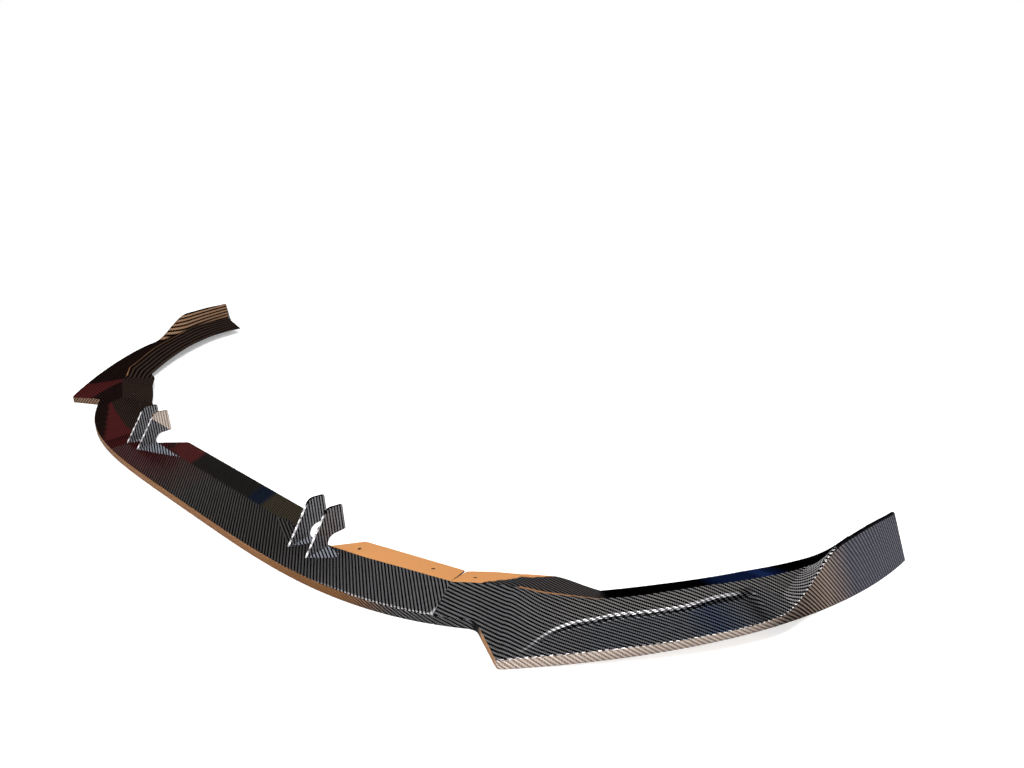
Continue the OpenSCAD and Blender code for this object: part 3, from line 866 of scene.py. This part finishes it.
def fin_tree():
    """Sets the fin at its four places: two on each side, one pitch apart."""
    tree = new_geometry_tree("fin_pairs", {"Inner place": "Float", "Fin pitch": "Float",
                                           "Material": "Material"})
    source = add_node(tree, "NodeGroupInput")
    joined = add_node(tree, "GeometryNodeJoinGeometry")
    for side in (1, -1):
        line = {"Count": 2}
        for socket, label in (("Start Location", "Inner place"), ("Offset", "Fin pitch")):
            x = add_node(tree, "ShaderNodeMath", {0: source.outputs[label], 1: side},
                         operation="MULTIPLY")
            line[socket] = add_node(tree, "ShaderNodeCombineXYZ", {"X": x})
        row = add_node(tree, "GeometryNodeMeshLine", line)
        tree.links.new(row.outputs[0], joined.inputs[0])
    placed = add_node(tree, "GeometryNodeInstanceOnPoints", {
        "Points": joined, "Instance": source.outputs["Geometry"]})
    real = add_node(tree, "GeometryNodeRealizeInstances", {0: placed})
    finished = add_node(tree, "GeometryNodeSetMaterial", {
        "Geometry": real, "Material": source.outputs["Material"]})
    add_node(tree, "NodeGroupOutput", {0: finished})
    return tree


def hole_tree():
    """Bores a row of screw holes down through the panel."""
    tree = new_geometry_tree("screw_holes", {"First hole": "Vector", "Hole step": "Vector",
                                             "Holes": "Int", "Hole radius": "Float"})
    source = add_node(tree, "NodeGroupInput")
    pin = add_node(tree, "GeometryNodeMeshCylinder", {
        "Vertices": 32, "Radius": source.outputs["Hole radius"], "Depth": 0.2})
    row = add_node(tree, "GeometryNodeMeshLine", {
        "Count": source.outputs["Holes"], "Start Location": source.outputs["First hole"],
        "Offset": source.outputs["Hole step"]})
    placed = add_node(tree, "GeometryNodeInstanceOnPoints", {"Points": row, "Instance": pin})
    real = add_node(tree, "GeometryNodeRealizeInstances", {0: placed})
    bored = add_node(tree, "GeometryNodeMeshBoolean", {
        "Mesh 1": source.outputs["Geometry"], "Mesh 2": real}, operation="DIFFERENCE")
    add_node(tree, "NodeGroupOutput", {0: bored})
    return tree


def baked(obj, tree, values):
    """Runs a node tree on the object with its inputs set, and keeps the result as a plain mesh."""
    modifier = obj.modifiers.new(tree.name, "NODES")
    modifier.node_group = tree
    for item in tree.interface.items_tree:
        if item.item_type == "SOCKET" and item.in_out == "INPUT" and item.name in values:
            modifier[item.identifier] = values[item.name]
    graph = bpy.context.evaluated_depsgraph_get()
    graph.update()
    made = bpy.data.meshes.new_from_object(obj.evaluated_get(graph), preserve_all_data_layers=True,
                                           depsgraph=graph)
    obj.modifiers.remove(modifier)
    old = obj.data
    obj.data = made
    bpy.data.meshes.remove(old)
    if not made.polygons:
        raise RuntimeError(tree.name + " made no mesh")
    return obj


def flare(x, reach):
    """The flare at a fin's foot: a shallow three-sided facet that runs out to one side."""
    top = np.array([(x, FIN_FOOT_Y, DECK_Z + 0.1), (x, NOTCH_Y + 1, DECK_Z + 4),
                    (x + reach, NOTCH_Y + 2, DECK_Z + 0.3)])
    mesh = part_mesh("flare", np.concatenate([top, top - [0, 0, FLARE_DEPTH]]),
                     [(0, 1, 2), (5, 4, 3), (0, 3, 4, 1), (1, 4, 5, 2), (2, 5, 3, 0)])
    outwards(mesh)
    p, tone = corners_of(mesh)[0], stripe_table()
    # The flares' light stripes are a painted reflection; the near pair's long flare mirrors nothing
    # bright and keeps the deck's stripes
    light = tone.deck_light if x > 0 and reach == -FLARE_MID else tone.flare_light
    colours = (np.tile(colour, (len(p), 1)) for colour in (tone.tow_dark, light))
    paint(mesh, directed(p, FLARE_ANGLE) * FIN_WEAVE, colours)
    mesh.materials.append(film_material())
    return linked("flare", mesh)


def middle_strip(shell):
    """Which face corners lie on the strip behind the deck, between the pairs of fins."""
    at_back = between(shell.row, shell.middles[3], shell.starts[6])
    return at_back & (np.abs(shell.p[:, 0]) < STRIP_HALF)


def centre_map(shell):
    """Where each face corner lies on the film, in millimetres."""
    outer, strip = shell.row < shell.middles[2], middle_strip(shell)
    uv = directed(shell.p, CENTRE_ANGLE) * CENTRE_WEAVE
    uv[outer] = (directed(shell.p[:, [0, 2]], CENTRE_ANGLE) * CENTRE_WEAVE)[outer]
    uv[strip] = directed(shell.p, STRIP_ANGLE)[strip]
    return uv


def centre_colours(shell):
    """Both stripe colours at each face corner of the centre panel, by its x and its row, with
    painted reflections, highlights and shade.
    """
    x, row, starts, middles = shell.p[:, 0], shell.row, shell.starts, shell.middles
    tone, outer_x = stripe_table(), fin_places()[1]
    black, band = tone.tow_dark, tone.front_band
    dark = np.tile(black, (len(x), 1))
    # The deck's light stripes: painted darker, as shade, towards the far end, with a painted red
    # reflection across it
    light = ramp_of(x, [(-400, tone.far_light), (-320, 0.8 * tone.red_tint),
                        (-220, 0.9 * tone.red_tint), (-20, 0.9 * tone.deck_light),
                        (250, 0.9 * tone.deck_light), (400, 0.8 * tone.top_light),
                        (520, tone.top_light)])
    # A painted red reflection lies across the far end of the deck
    patch = between(row, middles[2], middles[3]) & inside_lines(shell.p, RED_PATCH)
    dark[patch], light[patch] = 0.45 * tone.red_tint, 0.85 * tone.red_tint
    # The rear strip: painted red, blue and olive reflections along it
    rear = ramp_of(x, [(-225, tone.rear_light), (-205, tone.red_tint), (-130, tone.red_tint),
                       (-118, tone.rear_light), (70, tone.rear_light), (82, tone.rear_blue),
                       (112, tone.rear_blue), (122, tone.rear_olive)])
    strip, outer = middle_strip(shell), row < middles[2]
    dark[strip], light[strip] = 0.35 * rear[strip], rear[strip]
    # The front band: a painted warm reflection, dimmer towards the far seam and fading out towards
    # the near one
    dark[outer] = ramp_of(x, [(-549, 0.5 * band), (-200, 0.8 * band), (250, 0.8 * band),
                              (320, 0.45 * band), (410, 0.35 * band), (480, black)])[outer]
    light[outer] = ramp_of(x, [(-549, 0.6 * band), (-200, band), (410, band),
                               (500, tone.top_light)])[outer]
    # Painted highlight along the seam edge
    seam_rim = between(row, middles[2], middles[4]) & (x > SEAM_X - 5.5)
    dark[seam_rim], light[seam_rim] = 0.3 * tone.rim_light, tone.rim_light
    # Painted highlight along the front edge, growing from x 360 mm towards the near seam
    front_rim = between(row, middles[2], starts[2] + CENTRE_COUNTS[2])
    light = mix(light, tone.rim_light, (front_rim * np.interp(x, [360, 430], [0, 0.8]))[:, None])
    # Painted warm reflection on the flange beyond the near outer fin
    warm = between(row, middles[4], starts[6]) & (x > outer_x + 1)
    dark[warm] = light[warm] = tone.flange_warm
    light[(row >= middles[3]) & (x < -outer_x - 1)] = 0.8 * tone.flange_brown
    under = row >= starts[6]
    dark[under] = light[under] = tone.under
    return dark, light


def centre_panel():
    """The centre panel: a dense loft between the seams, with its fins and flares joined on."""
    fillet, end = sizes().edge_rounding / MM, SEAM_X - SEAM_GAP / 2
    xs = np.concatenate([np.linspace(0, end - 1.2, 218), [end - 0.5, end]])
    xs = np.concatenate([-xs[:0:-1], xs])
    rings = [section_ring(centre_corners(x), centre_reach(abs(x), fillet), CENTRE_COUNTS,
                          CENTRE_SPANS) for x in xs]
    shell = lofted("centre_panel_film", rings, CENTRE_COUNTS, CENTRE_SPANS)
    paint(shell.mesh, centre_map(shell), centre_colours(shell))
    inner, outer, _ = fin_places()
    satin_from = np.where(xs[shell.face_ring] < -outer, shell.middles[2], shell.middles[4])
    panel = film_shell(shell, satin_from, shell.starts[6])
    for side in (1, -1):
        bore(panel, [(side * x, y) for x, y in CENTRE_HOLES])
    fins = baked(fin_blank(), fin_tree(), {
        "Inner place": sizes().fin_place, "Fin pitch": sizes().fin_pitch,
        "Material": film_material()})
    warm_fin(fins.data, -inner)
    flares = ((inner, -FLARE_MID), (inner, FLARE_PAIR), (outer, -FLARE_PAIR), (outer, FLARE_SIDE))
    return joined_piece([panel, fins] + [flare(side * x, side * reach) for side in (1, -1)
                                         for x, reach in flares])


def warm_fin(mesh, x):
    """Paints a warm reflection in the band's light tan on the upper rear part of the fin at x."""
    p, face, _ = corners_of(mesh)
    tone = stripe_table()
    middle = np.stack([np.bincount(face, p[:, i]) / np.bincount(face) for i in range(3)], -1)[face]
    behind = ((middle[:, 1] - FIN_LINE_AT[0]) * FIN_LINE[0]
              + (middle[:, 2] - FIN_LINE_AT[1]) * FIN_LINE[1] > 0)
    for layer, shown, wanted in (("stripe_light", tone.fin_light, tone.band_light),
                                 ("stripe_dark", tone.tow_dark, tone.band_dark)):
        data = mesh.color_attributes[layer].data
        rgba = np.empty(len(p) * 4, dtype=np.float32)
        data.foreach_get("color", rgba)
        rgba = rgba.reshape(-1, 4)
        side = np.abs(rgba[:, :3] - shown).max(1) < 0.01
        rgba[side & behind & (np.abs(p[:, 0] - x) < 4), :3] = wanted
        data.foreach_set("color", rgba.ravel())


def joined_piece(parts):
    """Joins the parts into the first one."""
    bpy.ops.object.select_all(action="DESELECT")
    for part in parts:
        part.select_set(True)
    bpy.context.view_layer.objects.active = parts[0]
    bpy.ops.object.join()
    return parts[0]


def bore(panel, places):
    """Bores an even row of screw holes through places in millimetres from the front edge."""
    points = [Vector((x * MM, (y + SHIFT_Y) * MM, 0.05)) for x, y in places]
    baked(panel, hole_tree(), {
        "First hole": points[0], "Hole step": points[-1] - points[0], "Holes": len(points),
        "Hole radius": sizes().hole_diameter / 2})


def node_material(name):
    material = bpy.data.materials.new(name)
    material.use_nodes = True
    return material, material.node_tree


# Carbon-look film: printed 2/2 twill under a clear gloss layer, pulled over moulded ABS. The
# eye gets slanted stripes with a stepped edge, deep black between them and a hard clean shine.
# Its stripe colours come from the mesh, with painted reflections, highlights and shade among them.
def film_material(name="carbon_look_film", sheen=0.25, coat=0.055, relief=1.0):
    if name in bpy.data.materials:
        return bpy.data.materials[name]
    material, tree = node_material(name)
    film = add_node(tree, "ShaderNodeUVMap", uv_map="film")
    place = add_node(tree, "ShaderNodeSeparateXYZ", {0: film})
    diagonal = 1 / (math.sqrt(2) * sizes().tow_width / MM)
    steps, swells = [], []
    for operation in ("ADD", "SUBTRACT"):
        total = add_node(tree, "ShaderNodeMath", {0: place.outputs[0], 1: place.outputs[1]},
                         operation=operation)
        tows = add_node(tree, "ShaderNodeMath", {0: total, 1: diagonal}, operation="MULTIPLY")
        steps.append(add_node(tree, "ShaderNodeMath", {0: tows}, operation="FLOOR"))
        # The roundness of each tow: full in its middle, less at its two sides
        part = add_node(tree, "ShaderNodeMath", {0: tows}, operation="FRACT")
        wave = add_node(tree, "ShaderNodeMath", {0: part, 1: math.pi}, operation="MULTIPLY")
        swells.append(add_node(tree, "ShaderNodeMath", {0: wave}, operation="SINE"))
    # Two tows over and two under, one further along in each row
    on_top = steps[0]
    for operation, value in (("SUBTRACT", steps[1]), ("FLOORED_MODULO", 4.0), ("LESS_THAN", 1.5)):
        on_top = add_node(tree, "ShaderNodeMath", {0: on_top, 1: value}, operation=operation)
    swell = add_node(tree, "ShaderNodeMix", {0: on_top, 2: swells[0], 3: swells[1]})
    dark, light = (add_node(tree, "ShaderNodeAttribute", attribute_name=layer)
                   for layer in ("stripe_dark", "stripe_light"))
    stripes = add_node(tree, "ShaderNodeMix", {0: on_top, 6: dark, 7: light}, data_type="RGBA")
    shade = add_node(tree, "ShaderNodeMapRange", {
        0: swell, 1: 0.55, 3: TOW_SHADE + relief * (TOW_DARKEST - TOW_SHADE),
        4: TOW_SHADE + relief * (TOW_BRIGHTEST - TOW_SHADE)})
    set_inputs(tree, tree.nodes["Principled BSDF"], {
        "Base Color": add_node(tree, "ShaderNodeVectorMath", {0: stripes.outputs[2], 3: shade},
                               operation="SCALE"),
        "Normal": add_node(tree, "ShaderNodeBump", {"Height": swell, "Distance": 0.00004,
                                                    "Strength": 0.5 * relief}),
        "Metallic": add_node(tree, "ShaderNodeMath", {0: on_top, 1: sheen}, operation="MULTIPLY"),
        "Roughness": 0.3, "IOR": 1.5, "Specular IOR Level": 0.0,
        "Coat Weight": coat, "Coat Roughness": 0.06, "Coat IOR": 1.3})
    return material


# The same film where it is pulled thin, over the screw flanges and along the far side: its gloss
# and the feel of the tows are lost, which gives the eye an even satin face.
def satin_material():
    return film_material("carbon_look_film_satin", sheen=0.0, coat=0.0, relief=0.12)


# Bare black ABS, injection moulded: the inside keeps the mould's fine matt grain, which gives
# the eye an even charcoal with a broad soft shine.
def bare_material():
    if "moulded_abs_bare" in bpy.data.materials:
        return bpy.data.materials["moulded_abs_bare"]
    material, tree = node_material("moulded_abs_bare")
    place = add_node(tree, "ShaderNodeTexCoord")
    # Mould grain of about 1.2 mm, drawn that coarse so that it shows
    grain = add_node(tree, "ShaderNodeTexNoise", {
        "Vector": place.outputs["Object"], "Scale": 1 / 0.0012})
    shade = add_node(tree, "ShaderNodeMapRange", {0: grain, 3: 0.8, 4: 1.2})
    set_inputs(tree, tree.nodes["Principled BSDF"], {
        "Base Color": add_node(tree, "ShaderNodeVectorMath", {0: from_hex("101012"), 3: shade},
                               operation="SCALE"),
        "Normal": add_node(tree, "ShaderNodeBump", {"Height": grain, "Distance": 0.0001,
                                                    "Strength": 0.4}),
        "Roughness": 0.6, "IOR": 1.53})
    return material


def hex_colour(code, label):
    return bpy.props.FloatVectorProperty(
        name=label, description=label + ", as light as it looks in plain light",
        subtype="COLOR", size=3, min=0, max=1, default=from_hex(code))


class SplitterSizes(bpy.types.PropertyGroup):
    """Sizes of the lip's finish and of its fins."""

    fin_place: bpy.props.FloatProperty(
        name="Inner fin", description="Place of the inner fins, from the middle",
        default=0.264, unit="LENGTH")
    fin_pitch: bpy.props.FloatProperty(
        name="Fin pitch", description="Distance between the two fins of a pair",
        default=0.046, unit="LENGTH")
    fin_thickness: bpy.props.FloatProperty(
        name="Fin thickness", description="Thickness of a fin", default=0.0042, unit="LENGTH")
    edge_rounding: bpy.props.FloatProperty(
        name="Edge rounding", description="How far the top edge's rounding reaches",
        default=0.0022, unit="LENGTH")
    hole_diameter: bpy.props.FloatProperty(
        name="Screw hole", description="Diameter of the screw holes", default=0.005, unit="LENGTH")
    tow_width: bpy.props.FloatProperty(
        name="Tow width", description="Width of one tow in the printed weave",
        default=0.00176, unit="LENGTH")


class SplitterColours(bpy.types.PropertyGroup):
    """Stripe colours of the film, zone by zone, many of them painted reflections, highlights and
    shade.
    """

    __annotations__ = {key: hex_colour(code, label) for key, (label, code) in FILM_COLOURS.items()}


class BuildSidePanels(bpy.types.Operator):
    """Builds both side panels"""

    bl_idname = "splitter.side_panels"
    bl_label = "Side panels"

    def execute(self, context):
        for name, node, sign in (("right_side_film", "right_side_panel", 1),
                                 ("left_side_film", "left_side_panel", -1)):
            panel = side_panel(name, sign)
            bore(panel, [(sign * SIDE_HOLE[0], SIDE_HOLE[1])])
            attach(panel, "root")
            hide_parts(node)
        return {"FINISHED"}


class BuildCentrePanel(bpy.types.Operator):
    """Builds the centre panel with its four fins"""

    bl_idname = "splitter.centre_panel"
    bl_label = "Centre panel"

    def execute(self, context):
        panel = centre_panel()
        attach(panel, "root")
        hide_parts("centre_panel")
        return {"FINISHED"}


def area_lamp(name, place, target, size, power):
    lamp = bpy.data.lights.new(name, "AREA")
    lamp.shape = "RECTANGLE"
    lamp.size, lamp.size_y = size
    lamp.energy = power
    holder = linked(name, lamp)
    holder.location = place
    holder.rotation_mode = "QUATERNION"
    holder.rotation_quaternion = (Vector(target) - Vector(place)).to_track_quat("-Z", "Y")


def studio_world():
    """A pale sky: white down at the horizon, greyer overhead, so that flat tops stay deep."""
    world = bpy.data.worlds.new("studio")
    world.use_nodes = True
    tree = world.node_tree
    tree.nodes.clear()
    ray = add_node(tree, "ShaderNodeTexCoord")
    height = add_node(tree, "ShaderNodeSeparateXYZ", {0: ray.outputs["Generated"]}).outputs[2]
    # Where each fall in brightness starts and ends in height, and what it falls to
    low, high = (add_node(tree, "ShaderNodeMapRange", {0: height, 1: start, 2: end, 3: 1.0, 4: to},
                          interpolation_type="SMOOTHSTEP")
                 for start, end, to in ((0.1, 0.26, 0.92), (0.375, 0.45, 0.24)))
    level = add_node(tree, "ShaderNodeMath", {0: low, 1: high}, operation="MULTIPLY")
    sky = add_node(tree, "ShaderNodeBackground", {0: (1, 1, 1, 1), 1: level})
    add_node(tree, "ShaderNodeOutputWorld", {0: sky})
    bpy.context.scene.world = world


# Seamless studio paper: pale and matt. It shows as white and keeps the object's shadow.
def floor_material():
    material, tree = node_material("studio_paper")
    tree.nodes.clear()
    paper = add_node(tree, "ShaderNodeBsdfDiffuse", {0: (*from_hex("e8e8e8"), 1)})
    place = add_node(tree, "ShaderNodeTexCoord")
    out = add_node(tree, "ShaderNodeVectorMath", {0: place.outputs["Object"]}, operation="LENGTH")
    # Its glow grows outwards, from 1.1 m to 2.6 m
    level = add_node(tree, "ShaderNodeMapRange", {
        0: out.outputs["Value"], 1: 1.1, 2: 2.6, 3: 0.3, 4: 1.0})
    glow = add_node(tree, "ShaderNodeEmission", {0: (1, 1, 1, 1), 1: level})
    path = add_node(tree, "ShaderNodeLightPath")
    seen = path.outputs["Is Camera Ray"]
    for kind in ("Is Glossy Ray", "Is Transmission Ray"):
        seen = add_node(tree, "ShaderNodeMath", {0: seen, 1: path.outputs[kind]},
                        operation="MAXIMUM")
    both = add_node(tree, "ShaderNodeAddShader", {0: paper, 1: glow})
    shown = add_node(tree, "ShaderNodeMixShader", {0: seen, 1: paper, 2: both})
    add_node(tree, "ShaderNodeOutputMaterial", {0: shown})
    return material


def photo_camera():
    """The camera at the photograph's place and angle."""
    data = bpy.data.cameras.new("photo_camera")
    data.sensor_width = 36
    data.lens = CAMERA_LENS
    data.clip_start, data.clip_end = 0.02, 60
    turn, tilt, roll, lean = np.radians([CAMERA_TURN, CAMERA_TILT, CAMERA_ROLL, CAMERA_LEAN])
    back = np.array([np.sin(turn) * np.cos(tilt), -np.cos(turn) * np.cos(tilt), np.sin(tilt)])
    right = np.array([np.cos(turn), np.sin(turn), 0])
    up = np.cross(back, right)
    level = np.array([right * np.cos(roll) + up * np.sin(roll),
                      -right * np.sin(roll) + up * np.cos(roll), back])
    rest = np.array([[1, 0, 0], [0, np.cos(lean), np.sin(lean)], [0, -np.sin(lean), np.cos(lean)]])
    rows = [[*row, at] for row, at in zip(rest @ level.T, CAMERA_PLACE)]
    holder = linked("photo_camera", data)
    holder.matrix_world = Matrix([*rows, [0, 0, 0, 1]])
    bpy.context.scene.camera = holder


class BuildStage(bpy.types.Operator):
    """Lays the floor and sets up the camera, lamps and sky"""

    bl_idname = "splitter.stage"
    bl_label = "Stage"

    def execute(self, context):
        mesh = bpy.data.meshes.new("floor")
        corners = [(x * FLOOR_HALF, y * FLOOR_HALF, 0)
                   for x, y in ((-1, -1), (1, -1), (1, 1), (-1, 1))]
        mesh.from_pydata(corners, [], [(0, 1, 2, 3)])
        mesh.materials.append(floor_material())
        floor = linked("floor", mesh)
        floor.location.z = -FLOOR_DROP
        studio_world()
        for lamp in LAMPS:
            area_lamp(*lamp)
        photo_camera()
        context.scene.view_settings.view_transform = "Standard"
        return {"FINISHED"}


class SplitterPanel(bpy.types.Panel):
    """Lists the lip's sizes, its colours and its building steps"""

    bl_idname = "VIEW3D_PT_splitter"
    bl_label = "Front splitter lip"
    bl_space_type = "VIEW_3D"
    bl_region_type = "UI"
    bl_category = "Splitter"

    def draw(self, context):
        for group in (context.scene.splitter_sizes, context.scene.splitter_colours):
            column = self.layout.column(align=True)
            for key in group.bl_rna.properties.keys():
                if key not in {"rna_type", "name"}:
                    column.prop(group, key)
        for step in STEPS:
            self.layout.operator(step.bl_idname)


STEPS = (BuildSidePanels, BuildCentrePanel, BuildStage)
CLASSES = (SplitterSizes, SplitterColours, *STEPS, SplitterPanel)


def register():
    for cls in CLASSES:
        bpy.utils.register_class(cls)
    bpy.types.Scene.splitter_sizes = bpy.props.PointerProperty(type=SplitterSizes)
    bpy.types.Scene.splitter_colours = bpy.props.PointerProperty(type=SplitterColours)


def unregister():
    del bpy.types.Scene.splitter_colours
    del bpy.types.Scene.splitter_sizes
    for cls in reversed(CLASSES):
        bpy.utils.unregister_class(cls)


def main():
    register()
    bpy.ops.splitter.side_panels()
    bpy.ops.splitter.centre_panel()
    bpy.ops.splitter.stage()


if __name__ == "__main__":
    main()
